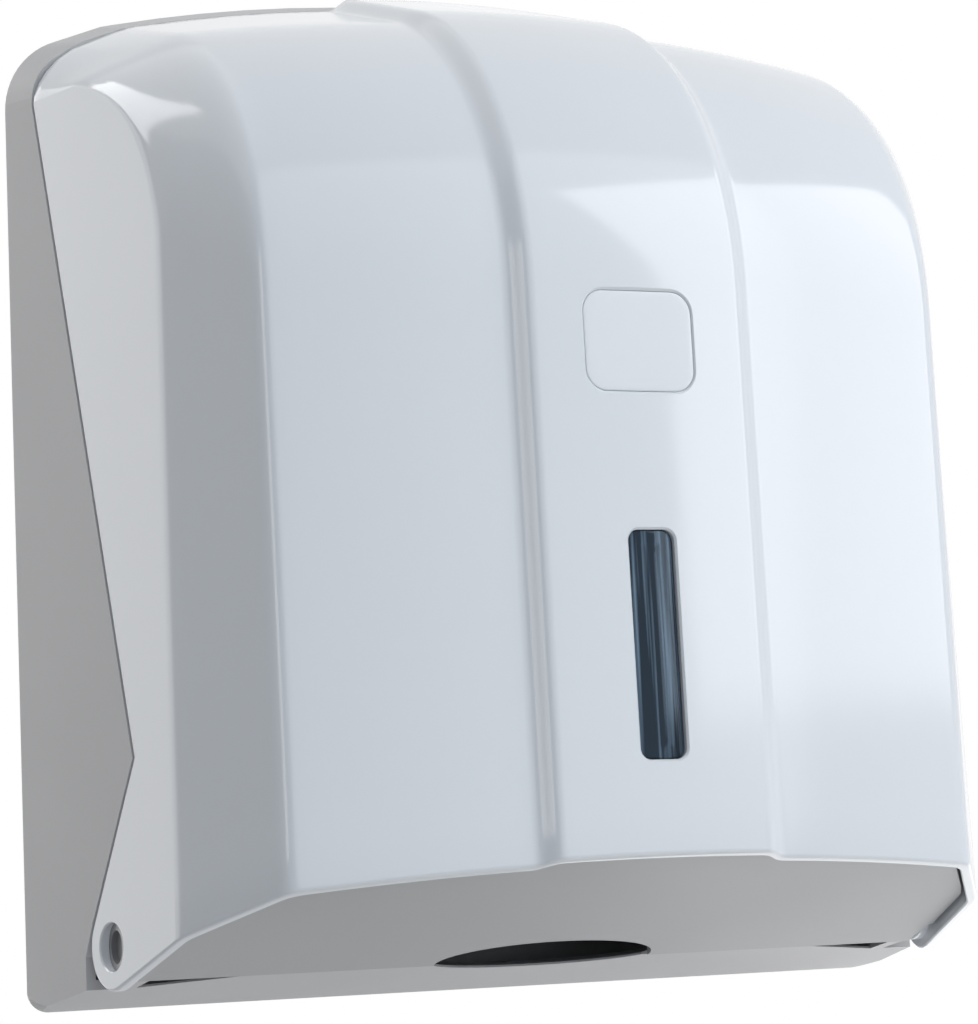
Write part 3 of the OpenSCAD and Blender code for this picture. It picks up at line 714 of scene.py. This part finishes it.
def add_noise(tree, scale, detail):
    noise = tree.nodes.new("ShaderNodeTexNoise")
    noise.inputs["Scale"].default_value = scale
    noise.inputs["Detail"].default_value = detail
    return noise


def add_blend(tree, low, high):
    blend = tree.nodes.new("ShaderNodeMix")
    blend.data_type = "RGBA"
    blend.inputs["A"].default_value = (*low, 1)
    blend.inputs["B"].default_value = (*high, 1)
    return blend


def add_spread(tree, low, high):
    spread = tree.nodes.new("ShaderNodeMapRange")
    spread.inputs["To Min"].default_value = low
    spread.inputs["To Max"].default_value = high
    return spread


def wire(tree, *joins):
    for source, target in joins:
        tree.links.new(source, target)


print("helpers: noise, blend, spread and wire")

# %% [markdown]
# ## Plastics
# All the plastic here is moulded: the cover polished in the tool to a gloss, the shell and tray
# with a fine satin grain. One function makes them from a soft cloud that shifts the tone and
# the gloss a little, as real mouldings do, and a fine grain that only the light catches.

# %% Plastics
CLOUD_SCALE, CLOUD_DETAIL = 22, 4
GRAIN_DETAIL, GRAIN_STRENGTH = 2, 0.6


def moulded(name, light, dark, rough, grain_mm, grain_depth, shine=0.5):
    material, tree, shader = new_finish(name)
    coords = tree.nodes.new("ShaderNodeTexCoord")
    cloud = add_noise(tree, CLOUD_SCALE, CLOUD_DETAIL)
    grain = add_noise(tree, 1000 / grain_mm, GRAIN_DETAIL)
    tone = add_blend(tree, dark, light)
    gloss = add_spread(tree, rough * 0.85, rough * 1.15)
    bump = tree.nodes.new("ShaderNodeBump")
    bump.inputs["Strength"].default_value = GRAIN_STRENGTH
    bump.inputs["Distance"].default_value = grain_depth / 1000
    wire(tree,
         (coords.outputs["Object"], cloud.inputs["Vector"]),
         (coords.outputs["Object"], grain.inputs["Vector"]),
         (cloud.outputs["Fac"], tone.inputs["Factor"]),
         (cloud.outputs["Fac"], gloss.inputs["Value"]),
         (grain.outputs["Fac"], bump.inputs["Height"]),
         (tone.outputs["Result"], shader.inputs["Base Color"]),
         (gloss.outputs["Result"], shader.inputs["Roughness"]),
         (bump.outputs["Normal"], shader.inputs["Normal"]))
    shader.inputs["Specular IOR Level"].default_value = shine
    return material


gloss_white = moulded("gloss_white", (0.80, 0.825, 0.86), (0.785, 0.81, 0.845),
                      rough=0.1, grain_mm=2.5, grain_depth=0.003)
badge_white = moulded("badge_white", (0.80, 0.82, 0.85), (0.78, 0.80, 0.83),
                      rough=0.25, grain_mm=1.2, grain_depth=0.004)
shell_grey = moulded("shell_grey", (0.515, 0.512, 0.518), (0.495, 0.492, 0.498),
                     rough=0.45, grain_mm=0.7, grain_depth=0.012, shine=0.25)
tray_grey = moulded("tray_grey", (0.47, 0.475, 0.48), (0.45, 0.455, 0.46),
                    rough=0.42, grain_mm=0.7, grain_depth=0.012, shine=0.2)
# the pins' grey is set darker than their own grey, so it also paints the shade on their faces
# deep in the bores
pin_grey = moulded("pin_grey", (0.24, 0.24, 0.25), (0.22, 0.22, 0.23),
                   rough=0.35, grain_mm=0.5, grain_depth=0.01)
plastics = (gloss_white, badge_white, shell_grey, tray_grey, pin_grey)
print("plastics:", ", ".join(m.name for m in plastics))

# %% [markdown]
# ## Smoke lens and metal
# The lens is clear plastic with a dark blue smoke in it, and the light streaks along its length
# are painted highlights blended into that colour. The lock is plated and the screws are zinc with
# a turned grain. Both come from a noise that is much finer one way than the other: as painted
# highlight streaks in the lens colour, and as tone and gloss on the metal.

# %% Lens and metals
# stretch, detail and cut-offs of the light streaks painted into the lens colour as highlights
PAINTED_SHEEN_STRETCH, PAINTED_SHEEN_DETAIL = (420, 420, 9), 3
PAINTED_SHEEN_FROM, PAINTED_SHEEN_TO = 0.54, 0.72
TURNED_GRAIN, TURNED_DETAIL = (300, 300, 4000), 2


def stretched_noise(tree, stretch, detail):
    coords = tree.nodes.new("ShaderNodeTexCoord")
    mapping = tree.nodes.new("ShaderNodeMapping")
    mapping.inputs["Scale"].default_value = stretch
    noise = add_noise(tree, 1, detail)
    wire(tree,
         (coords.outputs["Object"], mapping.inputs["Vector"]),
         (mapping.outputs["Vector"], noise.inputs["Vector"]))
    return noise


def smoke_with_painted_sheen(name):
    material, tree, shader = new_finish(name)
    # the light streaks are painted highlights, blended into the dark smoke colour
    painted_sheen = stretched_noise(tree, PAINTED_SHEEN_STRETCH, PAINTED_SHEEN_DETAIL)
    painted_sheen_lines = add_spread(tree, 0, 1)
    painted_sheen_lines.inputs["From Min"].default_value = PAINTED_SHEEN_FROM
    painted_sheen_lines.inputs["From Max"].default_value = PAINTED_SHEEN_TO
    # dark smoke, and the lighter blue of the painted highlight streaks
    smoke_and_painted_sheen = add_blend(tree, (0.002, 0.006, 0.014), (0.2, 0.28, 0.37))
    wire(tree,
         (painted_sheen.outputs["Fac"], painted_sheen_lines.inputs["Value"]),
         (painted_sheen_lines.outputs["Result"], smoke_and_painted_sheen.inputs["Factor"]),
         (smoke_and_painted_sheen.outputs["Result"], shader.inputs["Base Color"]))
    shader.inputs["Roughness"].default_value = 0.06
    shader.inputs["Transmission Weight"].default_value = 0.12
    shader.inputs["IOR"].default_value = 1.36
    shader.inputs["Specular Tint"].default_value = (0.6, 0.8, 1, 1)
    return material


def turned_metal(name, colour, rough):
    material, tree, shader = new_finish(name)
    lines = stretched_noise(tree, TURNED_GRAIN, TURNED_DETAIL)
    gloss = add_spread(tree, rough * 0.6, rough * 1.5)
    tone = add_blend(tree, [c * 0.9 for c in colour], colour)
    wire(tree,
         (lines.outputs["Fac"], gloss.inputs["Value"]),
         (lines.outputs["Fac"], tone.inputs["Factor"]),
         (gloss.outputs["Result"], shader.inputs["Roughness"]),
         (tone.outputs["Result"], shader.inputs["Base Color"]))
    shader.inputs["Metallic"].default_value = 1
    return material


lens_smoke = smoke_with_painted_sheen("lens_smoke")
lock_plating = turned_metal("lock_plating", (0.75, 0.75, 0.77), 0.16)
screw_zinc = turned_metal("screw_zinc", (0.62, 0.62, 0.64), 0.34)
print("lens and metals:", ", ".join(m.name for m in (lens_smoke, lock_plating, screw_zinc)))

# %% [markdown]
# ## Putting every piece on its body
# New pieces ride on the body whose node they stand for, take a finish of their own and hide
# the node. The lock and the tray screws keep their frame shapes and only take the new
# metal.

# %% Ride, replace and finish
PLATED = ("lock_barrel", "lock_nut", "lock_plug")
ZINC = ("stop_washer", "lock_cam", "cam_screw", "tray_screw_left", "tray_screw_right")


def dress(piece, body, node, material):
    piece.data.materials.clear()
    piece.data.materials.append(material)
    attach(piece, body)
    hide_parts(node)
    print(piece.name, "rides on", body, "for", node)


dress(cover, "cover", "front_cover", gloss_white)
dress(inside, "cover", "front_cover", gloss_white)
dress(level_lens, "cover", "window_lens", lens_smoke)
dress(bare_badge, "cover", "blank_badge", badge_white)
dress(rear_shell, "housing", "back_shell", shell_grey)
dress(sloped_tray, "housing", "towel_tray", tray_grey)
for node, pin in pins.items():
    dress(pin, "housing", node, pin_grey)
for node in PLATED:
    nodes[node].data.materials[0] = lock_plating
for node in ZINC:
    nodes[node].data.materials[0] = screw_zinc
print("frame pieces in new metal:", ", ".join(PLATED + ZINC))

# %% [markdown]
# ## Lamps
# Eight soft boxes stand round the dispenser. The front box at the right is mirrored in the
# gloss right of the middle, and a large cool box fills the front. The left box stands behind
# and lights the flat side panel but barely the chamfer, which gives the grey band between them.
# A small high box puts the bright patch on the top corner, a narrow strip marks the panel's
# step, and one box evens out the top. Two small ones below, at the right, make the underside
# fall off to the left.

# %% Soft boxes
AIM = Vector((0, -0.06, 0))


def soft_box(name, azimuth, elevation, distance, wide, tall, power, colour=(1, 1, 1)):
    towards = direction(math.radians(azimuth), math.radians(elevation))
    lamp = bpy.data.lights.new(name, "AREA")
    lamp.shape, lamp.size, lamp.size_y = "RECTANGLE", wide, tall
    lamp.energy, lamp.color = power, colour
    box = bpy.data.objects.new(name, lamp)
    box.location = AIM + towards * distance
    box.rotation_euler = towards.to_track_quat("Z", "Y").to_euler()
    bpy.context.scene.collection.objects.link(box)
    print(name, "at", [round(v, 2) for v in box.location], "with", power, "W")


# azimuth and elevation in degrees, then distance, width and height in metres, and watts
soft_box("front_box", 50, 21.5, 1.6, 1.2, 1.18, 14.5)
soft_box("sky_fill", 10, 20, 2.2, 3, 3, 26.5, (0.89, 0.99, 1.09))
soft_box("left_box", -143, 7, 1.5, 1.5, 1.5, 8.5)
soft_box("corner_box", -122, 44.5, 1.5, 0.75, 0.52, 5.2)
soft_box("step_strip", -45, 8, 1.6, 0.25, 0.8, 1.5)
soft_box("top_box", -100, 66, 1.6, 2.2, 1.5, 5)
soft_box("low_rear", 120, -35, 0.6, 0.4, 0.4, 0.65)
soft_box("low_front", 60, -65, 0.6, 0.4, 0.4, 0.3)

# %% [markdown]
# ## White room
# The background is white to the camera and in every mirror image, but it hardly lights the
# pieces, so that the lamps alone shape them. A light path tells the two apart: camera, glossy
# and transmission rays see the white, and all others meet a dim room.

# %% World
ROOM_LIGHT = 0.02
WHITE = (1, 1, 1, 1)


def add_larger(tree, a, b):
    larger = tree.nodes.new("ShaderNodeMath")
    larger.operation = "MAXIMUM"
    wire(tree, (a, larger.inputs[0]), (b, larger.inputs[1]))
    return larger.outputs[0]


def shown_rays(tree):
    path = tree.nodes.new("ShaderNodeLightPath").outputs
    seen = add_larger(tree, path["Is Camera Ray"], path["Is Glossy Ray"])
    return add_larger(tree, seen, path["Is Transmission Ray"])


world = bpy.data.worlds.new("white_studio")
bpy.context.scene.world = world
world.use_nodes = True
tree = world.node_tree
tree.nodes.clear()
room = tree.nodes.new("ShaderNodeBackground")
room.inputs["Color"].default_value = WHITE
room.inputs["Strength"].default_value = ROOM_LIGHT
white = tree.nodes.new("ShaderNodeBackground")
white.inputs["Color"].default_value = WHITE
pick = tree.nodes.new("ShaderNodeMixShader")
out = tree.nodes.new("ShaderNodeOutputWorld")
wire(tree,
     (shown_rays(tree), pick.inputs["Fac"]),
     (room.outputs[0], pick.inputs[1]),
     (white.outputs[0], pick.inputs[2]),
     (pick.outputs[0], out.inputs["Surface"]))
print("world:", world.name, "with a room light of", ROOM_LIGHT)

# %% [markdown]
# ## Paper floor
# The floor is plain pale paper far below, since the dispenser hangs on a wall. It is a diffuse
# sheet that also glows to the camera and in mirror images, so that it stays near white in views
# from above without sending more light at the underside.

# %% Floor
FLOOR_SIZE, FLOOR_Z = 5, -1.3
PAPER_ROUGH, PAPER_GLOW = 0.9, 0.78
FIBRE_SCALE, FIBRE_DETAIL = 60, 2

bpy.ops.mesh.primitive_plane_add(size=FLOOR_SIZE, location=(0, 0, FLOOR_Z))
floor = bpy.context.object
floor.name = "paper_floor"
paper, tree, shader = new_finish("floor_paper")
shader.inputs["Roughness"].default_value = PAPER_ROUGH
shader.inputs["Emission Color"].default_value = WHITE
fibre = add_noise(tree, FIBRE_SCALE, FIBRE_DETAIL)
fibre_tone = add_blend(tree, (0.84, 0.84, 0.84), (0.87, 0.87, 0.87))
glow = tree.nodes.new("ShaderNodeMath")
glow.operation = "MULTIPLY"
glow.inputs[1].default_value = PAPER_GLOW
wire(tree,
     (fibre.outputs["Fac"], fibre_tone.inputs["Factor"]),
     (fibre_tone.outputs["Result"], shader.inputs["Base Color"]),
     (shown_rays(tree), glow.inputs[0]),
     (glow.outputs[0], shader.inputs["Emission Strength"]))
floor.data.materials.append(paper)
bpy.context.scene.view_settings.view_transform = "Standard"
print("floor", FLOOR_SIZE, "m wide at", FLOOR_Z, "m")
